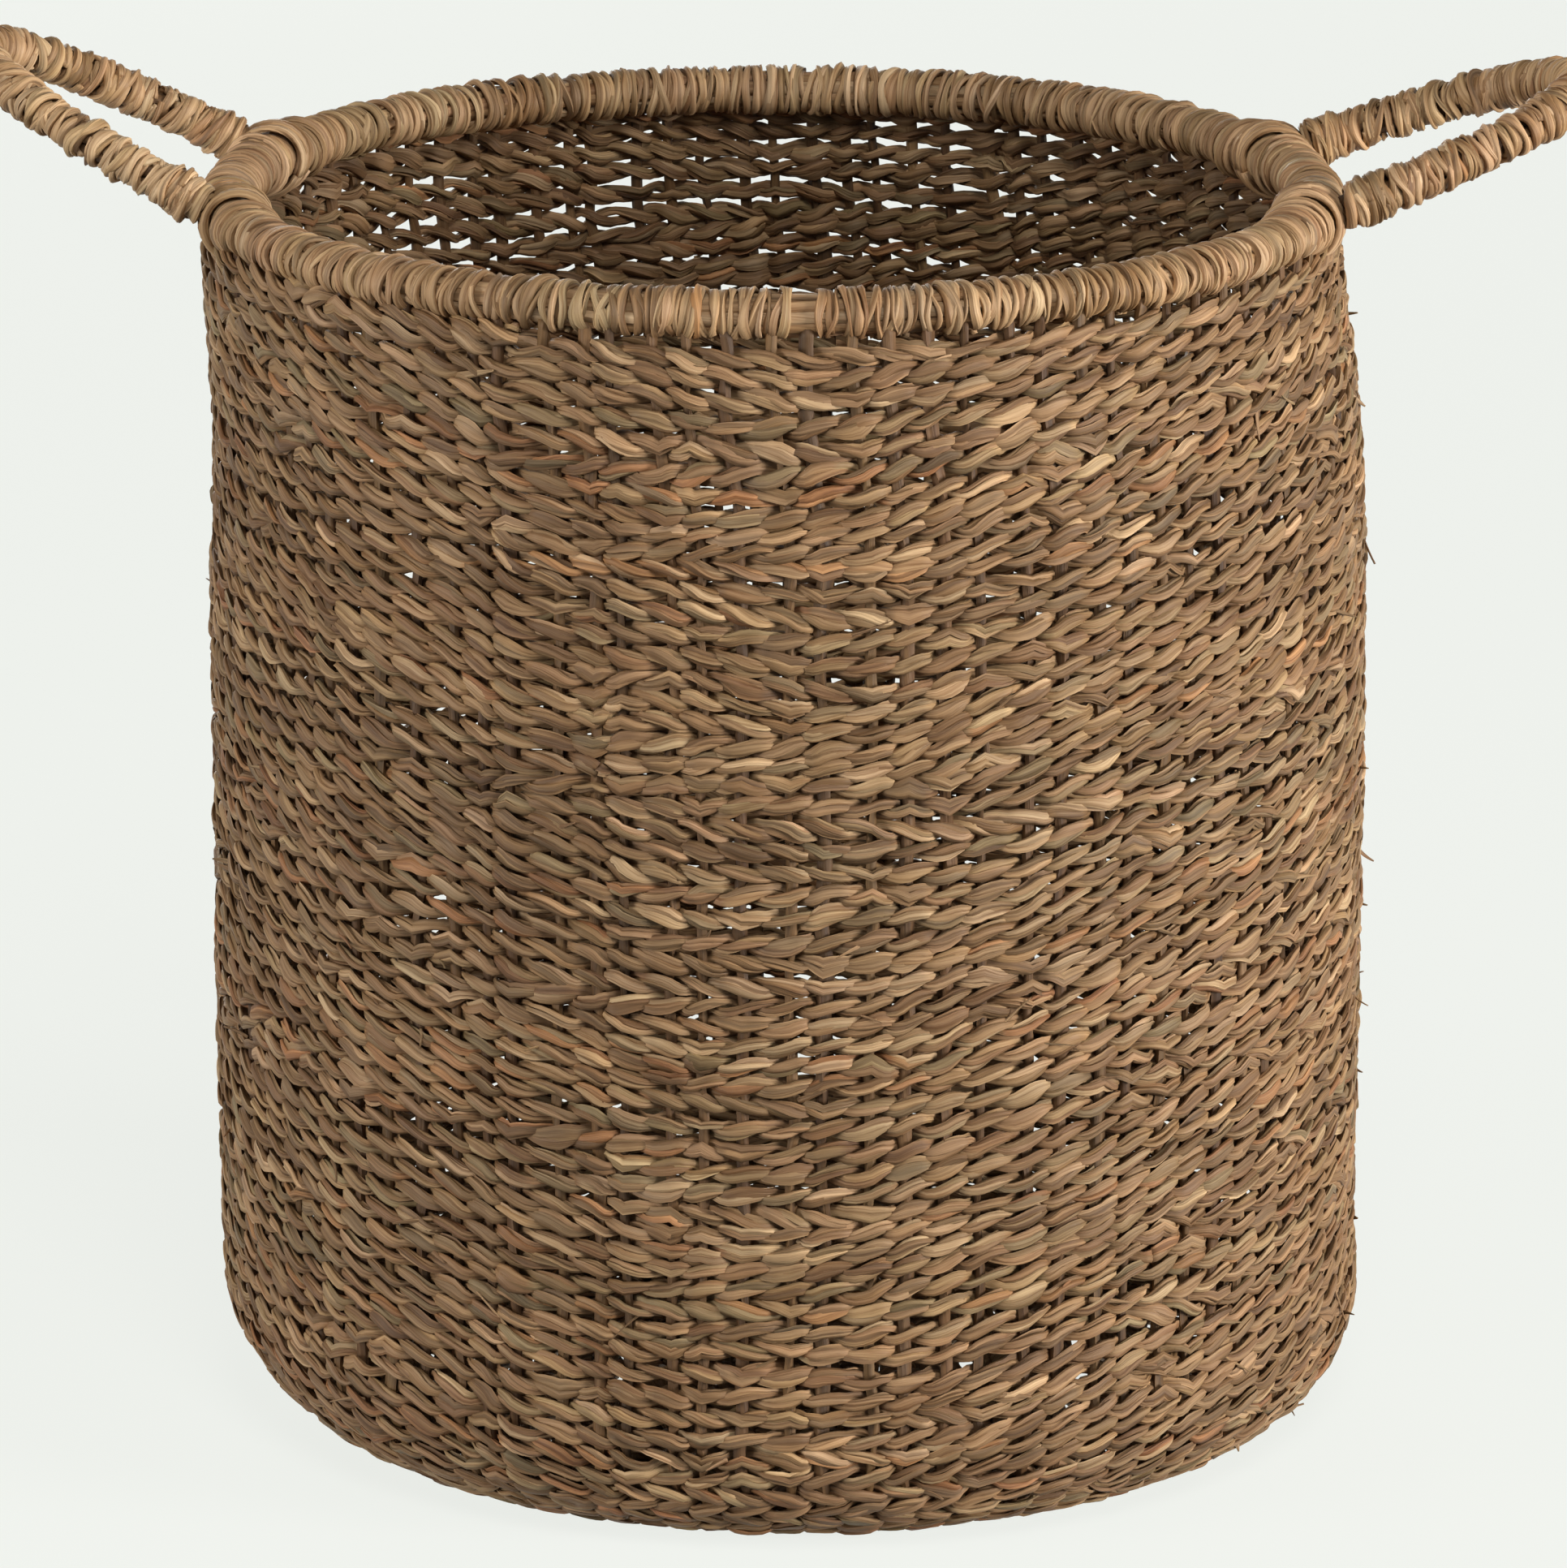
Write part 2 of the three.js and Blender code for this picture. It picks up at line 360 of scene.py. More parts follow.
    def lay_out_map(self, mesh):
        """Lays the strands side by side in rows, like lines of writing."""
        along = np.concatenate(self.map_along)
        across = np.concatenate(self.map_across)
        rows = max(1, round(math.sqrt(self.length / self.girth)))
        row_length = (self.length + 2 * MM) / rows
        row = np.floor(along.mean(axis=1, keepdims=True) / row_length)
        places = np.empty(along.shape + (2,), dtype=np.float32)
        places[..., 0] = 0.01 + 0.98 * (along / row_length - row)
        places[..., 1] = (row + 0.06 + 0.88 * across) / rows
        layer = mesh.uv_layers.new(name="OFBake")
        layer.data.foreach_set("uv", places.ravel())


# ---- Materials ----


class Nodes:
    """Adds and links the nodes of one material."""

    def __init__(self, name):
        self.material = bpy.data.materials.new(name)
        self.material.use_nodes = True
        self.tree = self.material.node_tree
        self.tree.nodes.clear()

    def add(self, kind, settings=None, **inputs):
        node = self.tree.nodes.new(kind)
        for key, value in (settings or {}).items():
            setattr(node, key, value)
        for key, value in inputs.items():
            socket = node.inputs[key.replace("_", " ")]
            if isinstance(value, bpy.types.NodeSocket):
                self.tree.links.new(value, socket)
            else:
                socket.default_value = value
        return node

    def math(self, operation, first, second):
        node = self.add("ShaderNodeMath", {"operation": operation})
        for socket, value in zip(node.inputs, (first, second)):
            if isinstance(value, bpy.types.NodeSocket):
                self.tree.links.new(value, socket)
            else:
                socket.default_value = value
        return node.outputs[0]

    def spread(self, value, low_value, high_value, from_low=0.0, from_high=1.0):
        node = self.add("ShaderNodeMapRange", Value=value)
        node.inputs["From Min"].default_value = from_low
        node.inputs["From Max"].default_value = from_high
        node.inputs["To Min"].default_value = low_value
        node.inputs["To Max"].default_value = high_value
        return node.outputs["Result"]

    def scaled(self, vector, factors):
        node = self.add("ShaderNodeVectorMath", {"operation": "MULTIPLY"})
        self.tree.links.new(vector, node.inputs[0])
        node.inputs[1].default_value = factors
        return node.outputs[0]

    def noise(self, vector, detail):
        inputs = {"Vector": vector, "Scale": 1.0, "Detail": detail, "Roughness": 0.6}
        return self.add("ShaderNodeTexNoise", **inputs).outputs["Fac"]


def grass_material(name, contrast, roughness, bump_depth):
    """Dried grass: long fibres in light and dark streaks, with a few blotches."""
    nodes = Nodes(name)
    tint = nodes.add("ShaderNodeAttribute", {"attribute_name": "tint"}).outputs["Color"]
    grain = nodes.add("ShaderNodeAttribute", {"attribute_name": "grain"}).outputs["Vector"]
    place = nodes.add("ShaderNodeTexCoord").outputs["Object"]

    bands = nodes.noise(nodes.scaled(grain, (0.6, 0.6, 0.3)), 4.0)
    fibres = nodes.noise(nodes.scaled(grain, (2.0, 2.0, 0.4)), 3.0)
    blotches = nodes.noise(nodes.scaled(place, (55.0, 55.0, 55.0)), 2.0)
    band = nodes.spread(bands, 0.5 - contrast, 0.5 + contrast, 0.34, 0.66)
    fibre = nodes.spread(fibres, -0.5 * contrast, 0.5 * contrast, 0.3, 0.7)
    blotch = nodes.spread(blotches, -0.16, 0.16, 0.3, 0.7)
    lightness = nodes.math("ADD", nodes.math("ADD", band, fibre), blotch)
    dark = nodes.scaled(tint, (0.47, 0.37, 0.27))
    light = nodes.scaled(tint, (1.22, 1.25, 1.27))
    colour = nodes.add("ShaderNodeMix", {"data_type": "VECTOR"})
    nodes.tree.links.new(lightness, colour.inputs["Factor"])
    nodes.tree.links.new(dark, colour.inputs[4])
    nodes.tree.links.new(light, colour.inputs[5])

    relief = nodes.math("ADD", bands, nodes.math("MULTIPLY", fibres, 0.5))
    bump = nodes.add("ShaderNodeBump", Height=relief, Strength=0.7, Distance=bump_depth)
    rough = nodes.spread(fibres, roughness + 0.1, roughness - 0.08, 0.3, 0.7)
    surface = nodes.add("ShaderNodeBsdfPrincipled", Roughness=rough, Normal=bump.outputs["Normal"])
    nodes.tree.links.new(colour.outputs[1], surface.inputs["Base Color"])
    surface.inputs["Specular IOR Level"].default_value = 0.35
    output = nodes.add("ShaderNodeOutputMaterial")
    nodes.tree.links.new(surface.outputs[0], output.inputs["Surface"])
    return nodes.material


def studio_material():
    """Pale paper that glows a little, so that it stays even."""
    nodes = Nodes("studio_paper")
    place = nodes.add("ShaderNodeTexCoord").outputs["Object"]
    rough = nodes.spread(nodes.noise(place, 2.0), 0.8, 0.9)
    grey = (0.12, 0.123, 0.118, 1)
    surface = nodes.add("ShaderNodeBsdfPrincipled", Base_Color=grey, Roughness=rough)
    surface.inputs["Specular IOR Level"].default_value = 0.0
    surface.inputs["Emission Color"].default_value = (0.847, 0.871, 0.831, 1)
    surface.inputs["Emission Strength"].default_value = 0.93
    output = nodes.add("ShaderNodeOutputMaterial")
    nodes.tree.links.new(surface.outputs[0], output.inputs["Surface"])
    return nodes.material


WALL_GRASS = grass_material("wall_grass", 0.4, 0.58, 0.7 * MM)
BASE_GRASS = grass_material("base_grass", 0.4, 0.6, 0.7 * MM)
BINDING_GRASS = grass_material("binding_grass", 0.42, 0.55, 0.6 * MM)
CORE_GRASS = grass_material("core_grass", 0.3, 0.6, 0.5 * MM)

# ---- The surface that the weave follows ----


def wall_outline():
    """The wall's outside radius as a quadratic in height, through the edges of its bands."""
    reach = [FOOT_RADIUS] + [high(node, 0) for node in WALL_BANDS]
    heights = [low(node, 2) for node in WALL_BANDS]
    radii = [min(below, above) for below, above in zip(reach, reach[1:])]
    return np.polyfit(heights, radii, 2)


class Meridian:
    """The middle of the weave, from the base's centre out, round the corner and up to the rim."""

    def __init__(self):
        half = THICKNESS / 2
        flat = np.linspace(0, FLAT_RADIUS, 80)
        turn = np.linspace(0, math.pi / 2, 40)[1:]
        wall = np.linspace(CORNER_RADIUS, RIM_BOTTOM, 200)[1:]
        bend = CORNER_RADIUS - half
        radius = [flat, FLAT_RADIUS + bend * np.sin(turn), np.polyval(wall_outline(), wall) - half]
        height = [np.full(len(flat), half), CORNER_RADIUS - bend * np.cos(turn), wall]
        self.radius = np.concatenate(radius)
        self.height = np.concatenate(height)
        steps = np.hypot(np.diff(self.radius), np.diff(self.height))
        self.distance = np.concatenate([[0], np.cumsum(steps)])
        self.lean_out = np.gradient(self.height, self.distance)
        self.lean_down = np.gradient(self.radius, self.distance)
        self.wall_points = len(wall) + 1
        self.corner_start = FLAT_RADIUS
        self.wall_start = self.distance_at(CORNER_RADIUS)
        self.swell_start = 0.6 * FLAT_RADIUS
        self.swell_end = self.wall_start + 20 * MM
        self.end = self.distance[-1]

    def distance_at(self, height):
        """How far along the meridian the wall is at that height."""
        first = len(self.distance) - self.wall_points
        return float(np.interp(height, self.height[first:], self.distance[first:]))

    def place(self, angle, distance, depth):
        """Points at that angle and distance, `depth` outside the middle, and the outward normals."""
        out = np.interp(distance, self.distance, self.lean_out)
        down = np.interp(distance, self.distance, self.lean_down)
        radius = np.interp(distance, self.distance, self.radius) + depth * out
        height = np.interp(distance, self.distance, self.height) - depth * down
        height = height + np.maximum(distance - self.end, 0)
        radius = radius - WAIST * smoothstep((WAIST_HEIGHT - height) / WAIST_BLEND)
        swell_length = self.swell_end - self.swell_start
        near_corner = np.clip((distance - self.swell_start) / swell_length, 0, 1)
        one_sided = (1 - SWELL_ALL_ROUND) * np.cos(angle - SWELL_BEARING)
        swell = CORNER_SWELL * (SWELL_ALL_ROUND + one_sided)
        radius = radius + swell * np.sin(math.pi * near_corner) ** 2
        shift = BODY_SHIFT * smoothstep((RIM_BOTTOM - height) / SHIFT_BLEND)
        points = np.stack([radius * np.cos(angle) + shift, radius * np.sin(angle), height], axis=-1)
        normals = np.stack([out * np.cos(angle), out * np.sin(angle), -down], axis=-1)
        return points, normals


MERIDIAN = Meridian()


class Wobble:
    """Slow waves in the courses, the same for a course and the ones next to it."""

    def __init__(self, seed):
        rng = np.random.default_rng(seed)
        self.round = rng.integers(2, 15, WOBBLES)
        self.up = rng.uniform(-120, 120, WOBBLES)
        self.phase = rng.uniform(0, 2 * math.pi, WOBBLES)
        self.size = WOBBLE_HEIGHT / np.sqrt(self.round)

    def __call__(self, angle, distance):
        total = np.zeros_like(angle)
        fade = smoothstep((MERIDIAN.end + 4 * MM - distance) / (30 * MM))
        for around, up, phase, size in zip(self.round, self.up, self.phase, self.size):
            total += size * np.sin(around * angle + up * distance + phase)
        return total * fade


WOBBLE = Wobble(11)

# ---- Twining ----


class Twining:
    """Two plies that wind round the basket in a spiral, before and behind each stake in turn."""

    def __init__(self, seed, start, end, stakes, depth=PLY_DEPTH, alternate=False):
        self.rng = np.random.default_rng(seed)
        self.stakes = stakes
        self.depth = depth
        turns = (end - start) / COURSE_PITCH
        self.count = int(turns * stakes * RINGS_PER_STITCH)
        self.passed = np.arange(self.count) / RINGS_PER_STITCH
        self.stitches = int(self.passed[-1]) + 3
        self.angle = self.stake_angle(self.passed)
        self.distance = start + COURSE_PITCH * self.passed / stakes
        self.distance = np.minimum(self.distance, end - 0.3 * COURSE_PITCH)
        self.distance = self.distance + WOBBLE(self.angle, self.distance)
        ring_wander = wander(self.rng, self.count, 9 * RINGS_PER_STITCH)
        self.distance = self.distance + 0.35 * MM * ring_wander
        self.slant = self.slants(alternate)

    def stake_angle(self, passed):
        """Stakes stand a little unevenly. The spiral starts at the back."""
        rng = np.random.default_rng(self.stakes)
        uneven = rng.uniform(-0.2, 0.2, self.stakes)
        places = np.arange(self.stakes + 1) + np.append(uneven, uneven[0])
        turns = np.floor(passed / self.stakes)
        within = np.interp(passed - turns * self.stakes, np.arange(self.stakes + 1), places)
        return math.pi / 2 + 2 * math.pi * (turns + within / self.stakes)

    def slants(self, alternate):
        """Which way each stitch slants, and how steeply. They rise to the right on the right side."""
        crossing = np.arange(self.stitches)
        if alternate:
            return np.where((crossing // self.stakes) % 2 == 0, 1.0, -1.0)
        sideways = np.cos(self.stake_angle(crossing + 0.5))
        limit = SIDE_CHANGE + 0.2 * self.rng.normal(size=self.stitches // self.stakes + 2)
        past = sideways - limit[crossing // self.stakes]
        slant = np.where(past > 0, 1.0, -1.0) * np.clip(0.65 + 0.9 * np.abs(past), 0.65, 1.15)
        turned = self.rng.random(self.stitches) < TURNED_STITCHES
        return np.where(turned, -slant, slant)

    def ply(self, number, palette):
        """The blades of one ply: their paths, widths and colours."""
        rng = self.rng
        phase = math.pi * (self.passed - number)
        front = np.cos(phase)
        width = self.uneven(1.03, 0.2)
        slant = self.slant[np.floor(self.passed).astype(int)]
        rise = PLY_RISE * self.uneven(1, 0.15) * slant * np.sin(phase)
        distance = self.distance + rise + self.uneven(0, 0.45 * MM)
        depth = self.depth * np.tanh(2 * (front + FRONT_SHARE)) + self.uneven(0, 0.35 * MM)
        lens = 0.76 + 0.24 * np.abs(front) ** 0.8
        turn = rng.uniform(0, 2 * math.pi) + BLADE_TURN * self.passed
        turn = turn + 0.8 * wander(rng, self.count, 11)
        blades = []
        for blade in range(BLADES):
            spin = turn + 2 * math.pi * blade / BLADES
            aside = BLADE_APART * width * lens * np.cos(spin)
            above = 0.7 * BLADE_APART * np.sin(spin)
            centres, normals = MERIDIAN.place(self.angle, distance + aside, depth + above)
            half_width = BLADE_HALF_WIDTH * width * lens * self.uneven(1, 0.15)
            blades.append((centres, normals, half_width, self.tints(palette)))
        return blades

    def uneven(self, mean, spread):
        """A value for each stitch, blended from one to the next."""
        values = self.rng.normal(mean, spread, self.stitches)
        values = np.clip(values, mean - 2 * spread, mean + 2 * spread)
        return np.interp(self.passed, np.arange(self.stitches), values)

    def tints(self, palette):
        """A colour for each ring, which changes where a new strand is spliced in, with painted light
        that makes each stitch a little lighter or darker as if its blade caught the light differently.
        """
        tints = np.empty((self.stitches, 3))
        place = 0
        while place < self.stitches:
            span = int(self.rng.integers(SHORTEST_SPLICE, LONGEST_SPLICE + 1))
            tints[place:place + span] = pick_tint(self.rng, palette)
            place += span
        # Painted light: a random brightness for each stitch, standing in for how each blade catches
        # the light.
        stitch_painted_light = 1 + 0.09 * self.rng.normal(size=self.stitches)
        return (tints * stitch_painted_light[:, None])[np.round(self.passed).astype(int)]


def build_plies(name, seed, plies, first, last, material, node):
    """Each ply between two rings of the spiral is a piece of its own, and both stand for one node."""
    for blades, which in zip(plies, ("first", "second")):
        strands = Strands(seed, facets=6)
        for centres, normals, half_width, tints in blades:
            strands.add(
                centres[first:last],
                normals[first:last],
                half_width[first:last],
                BLADE_HALF_THICKNESS,
                tints[first:last],
                BLADE_CREASE,
            )
        strands.build(f"{name}_{which}_ply", material, "basket", [node])


def woven_wall():
    """The corner and the wall are one spiral, cut into the bands that the frame names."""
    start = MERIDIAN.corner_start
    end = MERIDIAN.end + 0.4 * COURSE_PITCH
    twining = Twining(21, start, end, STAKES)
    plies = [twining.ply(number, WALL_COLOURS) for number in (0, 1)]
    rings_per_metre = RINGS_PER_STITCH * STAKES / COURSE_PITCH
    edges = list(np.linspace(start, MERIDIAN.wall_start, len(CORNER_RINGS) + 1))
    edges += [MERIDIAN.distance_at(low(node, 2)) for node in WALL_BANDS[1:]]
    edges.append(end)
    for number, node in enumerate(CORNER_RINGS + WALL_BANDS):
        first = round((edges[number] - start) * rings_per_metre)
        last = round((edges[number + 1] - start) * rings_per_metre) + 1
        is_corner = node in CORNER_RINGS
        material = BASE_GRASS if is_corner else WALL_GRASS
        name = node.replace("base_corner", "twined_corner").replace("wall_weave", "twined_wall")
        build_plies(name, 100 + number, plies, first, last, material, node)


def woven_base():
    """Three rings of twining on the flat base, with more stakes in each, flatter than the wall's."""
    start = START_RADIUS
    depth = 0.75 * PLY_DEPTH
    for number, node in enumerate(BASE_RINGS):
        end = high(node, 0)
        stakes = (INNER_STAKES, MIDDLE_STAKES, STAKES)[number]
        twining = Twining(31 + number, start, end, stakes, depth, alternate=True)
        plies = [twining.ply(ply, WALL_COLOURS) for ply in (0, 1)]
        name = node.replace("base_weave", "twined_base")
        build_plies(name, 130 + number, plies, 0, twining.count, BASE_GRASS, node)
        start = end


def woven_start():
    """Where the stakes cross at the middle of the base: flat strands, over and under."""
    strands = Strands(140)
    rng = strands.rng
    spacing = 2 * START_RADIUS / CROSSED_STRANDS
    half_thickness = 0.9 * MM
    along = np.linspace(-START_RADIUS, START_RADIUS, 46)
    for direction in (0, 1):
        for index in range(CROSSED_STRANDS):
            offset = (index - (CROSSED_STRANDS - 1) / 2) * spacing
            swing = np.cos(math.pi * (along / spacing + index + direction))
            height = THICKNESS / 2 + half_thickness * swing
            wavy = offset + 0.3 * MM * wander(rng, len(along), 8)
            x, y = (along, wavy) if direction == 0 else (wavy, along)
            centres = np.stack([x + BODY_SHIFT, y, height], axis=-1)
            tint = pick_tint(rng, STAKE_COLOURS_WITH_PAINTED_SHADE)
            strands.add(centres, (0, 0, 1), 0.42 * spacing, half_thickness, tint)
    strands.build("crossed_stakes", BASE_GRASS, "basket", ["base_start"])


def upright_stakes():
    """One stake at each place, from the base's flat up into the rim."""
    strands = Strands(150, facets=6)
    rng = strands.rng
    angles = Twining(1, 0, COURSE_PITCH, STAKES).stake_angle(np.arange(STAKES))
    distance = np.arange(FLAT_RADIUS - 8 * MM, MERIDIAN.end + 6 * MM, 2.5 * MM)
    for angle in angles:
        swing = 0.35 * MM * wander(rng, len(distance), 6) / FLAT_RADIUS
        depth = 0.25 * MM * wander(rng, len(distance), 5)
        centres, normals = MERIDIAN.place(angle + swing, distance, depth)
        half_width = STAKE_HALF_WIDTH * rng.uniform(0.8, 1.15)
        tint = pick_tint(rng, STAKE_COLOURS_WITH_PAINTED_SHADE)
        strands.add(centres, normals, half_width, 0.7 * half_width, tint, STAKE_CREASE)
    strands.build("upright_stakes", CORE_GRASS, "basket")


def loose_ends():
    """Ends of strands that stand out where one was spliced to the next, on both sides of the wall."""
    strands = Strands(155, facets=6)
    rng = strands.rng
    for _ in range(LOOSE_ENDS):
        angle = rng.uniform(0, 2 * math.pi)
        distance = rng.uniform(MERIDIAN.corner_start + 20 * MM, MERIDIAN.end - 4 * MM)
        length = rng.uniform(5, 15) * MM
        side = 1 if rng.random() < 0.7 else -1
        slope = rng.normal(0, 0.45) + (math.pi if rng.random() < 0.5 else 0)
        travel = np.linspace(0, 1, 9)
        radius = np.interp(distance, MERIDIAN.distance, MERIDIAN.radius)
        around = angle + length * travel * math.cos(slope) / radius
        up = distance + length * travel * math.sin(slope) + 0.8 * MM * rng.normal() * travel**2
        depth = side * (1.6 * MM + rng.uniform(1.0, 4.5) * MM * travel**2 + 1.2 * MM * travel)
        centres, normals = MERIDIAN.place(around, up, depth)
        half_width = rng.uniform(0.35, 1.3) * MM * (1 - 0.75 * travel**2)
        tint = pick_tint(rng, WALL_COLOURS)
        strands.add(centres, normals, half_width, 0.3 * MM, tint, LOOSE_END_CREASE)
    strands.build("loose_ends", WALL_GRASS, "basket")


# ---- The rim ----


class RimGuide:
    """The rim's centre line, measured by distance round it from the back."""

    radius = RIM_OUTSIDE - RIM_HALF_WIDTH
    half_out = RIM_HALF_WIDTH
    half_up = RIM_HALF_HEIGHT
    length = 2 * math.pi * radius

    def axes(self, place):
        """Centre, outward axis and upward axis at each place."""
        angle = math.pi / 2 + place / self.radius
        out = np.stack([np.cos(angle), np.sin(angle), np.zeros_like(angle)], axis=-1)
        up = np.broadcast_to([0.0, 0.0, 1.0], out.shape)
        return out * self.radius + [0, 0, RIM_HEIGHT], out, up


def wind(strands, guide, places, pitch, palette, scale=1.0, raised=0.0, hole_gap=0.0, hole=None):
    """Winds one turn of strand round the guide at each place.

    A turn starts and ends at the angle `hole`, gathered towards holes `hole_gap` apart, or where
    `hole` is None at any angle. Both of its ends tuck in under the next turns.
    """
    rng = strands.rng
    steps = 26
    tint = pick_tint(rng, palette)
    for place in places:
        start = rng.uniform(0, 2 * math.pi) if hole is None else hole
        turn = np.linspace(0, 2 * math.pi, steps) + start
        if rng.random() < 0.4:
            tint = pick_tint(rng, palette)
        nearest = hole_gap * round(place / hole_gap) - place if hole_gap else 0.0
        gather = np.maximum(np.cos(turn - start), 0) ** 2
        advance = pitch * (turn - start) / (2 * math.pi)
        sway = 0.6 * MM * wander(rng, steps, 5)
        sway = sway + rng.normal(0, 1.1 * MM) * np.cos(turn + rng.uniform(0, 6))
        centre, out, up = guide.axes(place + advance + 0.6 * nearest * gather + sway)
        lift = raised + rng.uniform(-0.5, 0.5) * MM + 0.3 * MM * wander(rng, steps, 5)
        lift = lift - 0.9 * MM * np.cos((turn - start) / 2) ** 12
        inset = BINDING_HALF_THICKNESS * scale
        reach_out = (guide.half_out - inset + lift) * np.cos(turn)
        reach_up = (guide.half_up - inset + lift) * np.sin(turn)
        centres = centre + out * reach_out[:, None] + up * reach_up[:, None]
        outward = out * np.cos(turn)[:, None] + up * np.sin(turn)[:, None]
        breadth = rng.uniform(0.75, 1.2) * np.clip(1 + 0.28 * wander(rng, steps, 4), 0.5, 1.5)
        half_width = BINDING_HALF_WIDTH * scale * breadth
        half_thickness = BINDING_HALF_THICKNESS * scale
        strands.add(centres, outward, half_width, half_thickness, tint, BINDING_CREASE)


def foot_places(guide):
    """Where the four feet of the handles stand, as distances round the rim from the back."""
    places = []
    for side in ("left", "right"):
        for foot in ("front", "rear"):
            corners = np.array(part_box(f"{side}_handle_{foot}_lashing"))
            middle = corners.mean(axis=0)
            angle = math.atan2(middle[1], middle[0]) - math.pi / 2
            places.append(guide.radius * (angle % (2 * math.pi)))
    return places


def rim_binding():
    """Turns of a flat strand round the rim, with one gap at the front where the core shows.

    Close turns come first, then turns that slant over them, then a mound beside each handle's foot.
    """
    guide = RimGuide()
    strands = Strands(160, facets=6)
    rng = strands.rng
    gap_place = guide.length / 2 + GAP_ASIDE
    places = np.arange(0, guide.length, BINDING_PITCH)
    places = places[np.abs(places - gap_place) > GAP_HALF_WIDTH]
    places = places + rng.normal(0, 0.3 * MM, len(places))
    lean = 0.4 * BINDING_PITCH
    wind(strands, guide, places, lean, BINDING_COLOURS, hole_gap=HOLE_GAP, hole=RIM_HOLE)
    over = np.sort(rng.uniform(0, guide.length, OVER_TURNS))
    over = over[np.abs(over - gap_place) > 6 * MM]
    lean = 2.8 * BINDING_PITCH
    wind(strands, guide, over, lean, BINDING_COLOURS, scale=0.9, hole=RIM_HOLE)
    for foot in foot_places(guide):
        for side in (-1, 1):
            lean = side * 3 * BINDING_PITCH
            for raised in (0.5 * MM, 1.2 * MM, 1.8 * MM):
                beside = foot + side * (19 * MM - 6 * raised) + rng.normal(0, 1.5 * MM, 3)
                wind(strands, guide, beside, lean, BINDING_COLOURS, raised=raised, hole=RIM_HOLE)
    strands.build("rim_wrapping", BINDING_GRASS, "basket", ["rim_binding"])


def rim_core():
    """A bundle of strands inside the binding: one in the middle and the rest twisted round it."""
    guide = RimGuide()
    strands = Strands(170)
    rng = strands.rng
    place = np.linspace(0, guide.length, 420)
    centre, out, up = guide.axes(place)
    for index in range(RIM_STRANDS):
        spin = 2 * math.pi * index / RIM_STRANDS + 0.9 * place / guide.length * 2 * math.pi
        reach = 0.58 if index else 0.0
        across = reach * guide.half_out * np.cos(spin) + 0.2 * MM * wander(rng, len(place), 12)
        above = reach * guide.half_up * np.sin(spin) + 0.2 * MM * wander(rng, len(place), 12)
        centres = centre + out * across[:, None] + up * above[:, None]
        outward = out * np.cos(spin)[:, None] + up * np.sin(spin)[:, None]
        tint = pick_tint(rng, BINDING_COLOURS)
        strands.add(centres, outward, 2.2 * MM, 1.6 * MM, tint, BUNDLE_CREASE)
    strands.build("rim_bundle", CORE_GRASS, "basket", ["rim_core"])


# ---- Handles ----


class LoopGuide:
    """A handle's centre line: about half an ellipse between its two feet on the rim."""

    half_out = HANDLE_RADIUS
    half_up = HANDLE_RADIUS

    def __init__(self, side, fullness):
        feet = []
        for foot in ("front", "rear"):
            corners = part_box(f"{side}_handle_{foot}_lashing")
            feet.append((np.array(corners[0]) + np.array(corners[1])) / 2)
        self.middle = (feet[0] + feet[1]) / 2
        self.half_span = np.linalg.norm(feet[0] - feet[1]) / 2
        self.axis = unit(feet[0] - feet[1])
        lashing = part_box(f"{side}_handle_front_lashing")
        self.lashing_radius = (lashing[1][2] - lashing[0][2]) / 2
        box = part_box(f"{side}_handle_wrap")
        sign = -1 if side == "left" else 1
        far = box[0][0] + HANDLE_RADIUS if side == "left" else box[1][0] - HANDLE_RADIUS
        away = np.cross(self.axis, [0, 0, 1.0])
        self.away = unit(away * sign * np.sign(away[0]))
        level = (far - self.middle[0]) / self.away[0]
        rise = box[1][2] - HANDLE_RADIUS - self.middle[2]
        self.reach = math.hypot(level, rise)
        self.out = (self.away * level + np.array([0, 0, rise])) / self.reach
        self.face = np.cross(self.out, self.axis)
        self.side = side
        self.fullness = fullness
        self.tabulate()

    def tabulate(self):
        """Distances along the loop, so that turns of strand can be spaced evenly."""
        start = math.asin((self.lashing_radius - 4 * MM) / self.reach)
        turn = np.linspace(start, math.pi - start, 400)
        outward = np.sin(turn) ** self.fullness
        self.points = (
            self.middle
            + self.reach * outward[:, None] * self.out
            + self.half_span * np.cos(turn)[:, None] * self.axis
        )
        steps = np.linalg.norm(np.diff(self.points, axis=0), axis=1)
        self.travelled = np.concatenate([[0], np.cumsum(steps)])
        self.length = self.travelled[-1]
        self.tangents = unit(np.gradient(self.points, axis=0))

    def along(self, table, place):
        """A row of the table at each place, blended between its neighbours."""
        columns = [np.interp(place, self.travelled, column) for column in table.T]
        return np.stack(columns, axis=-1)

    def axes(self, place):
        """Centre, the axis in the loop's plane and the axis across it at each place."""
        centre = self.along(self.points, place)
        ahead = self.along(self.tangents, place)
        up = np.broadcast_to(self.face, centre.shape)
        out = unit(np.cross(ahead, up))
        return centre, out, up


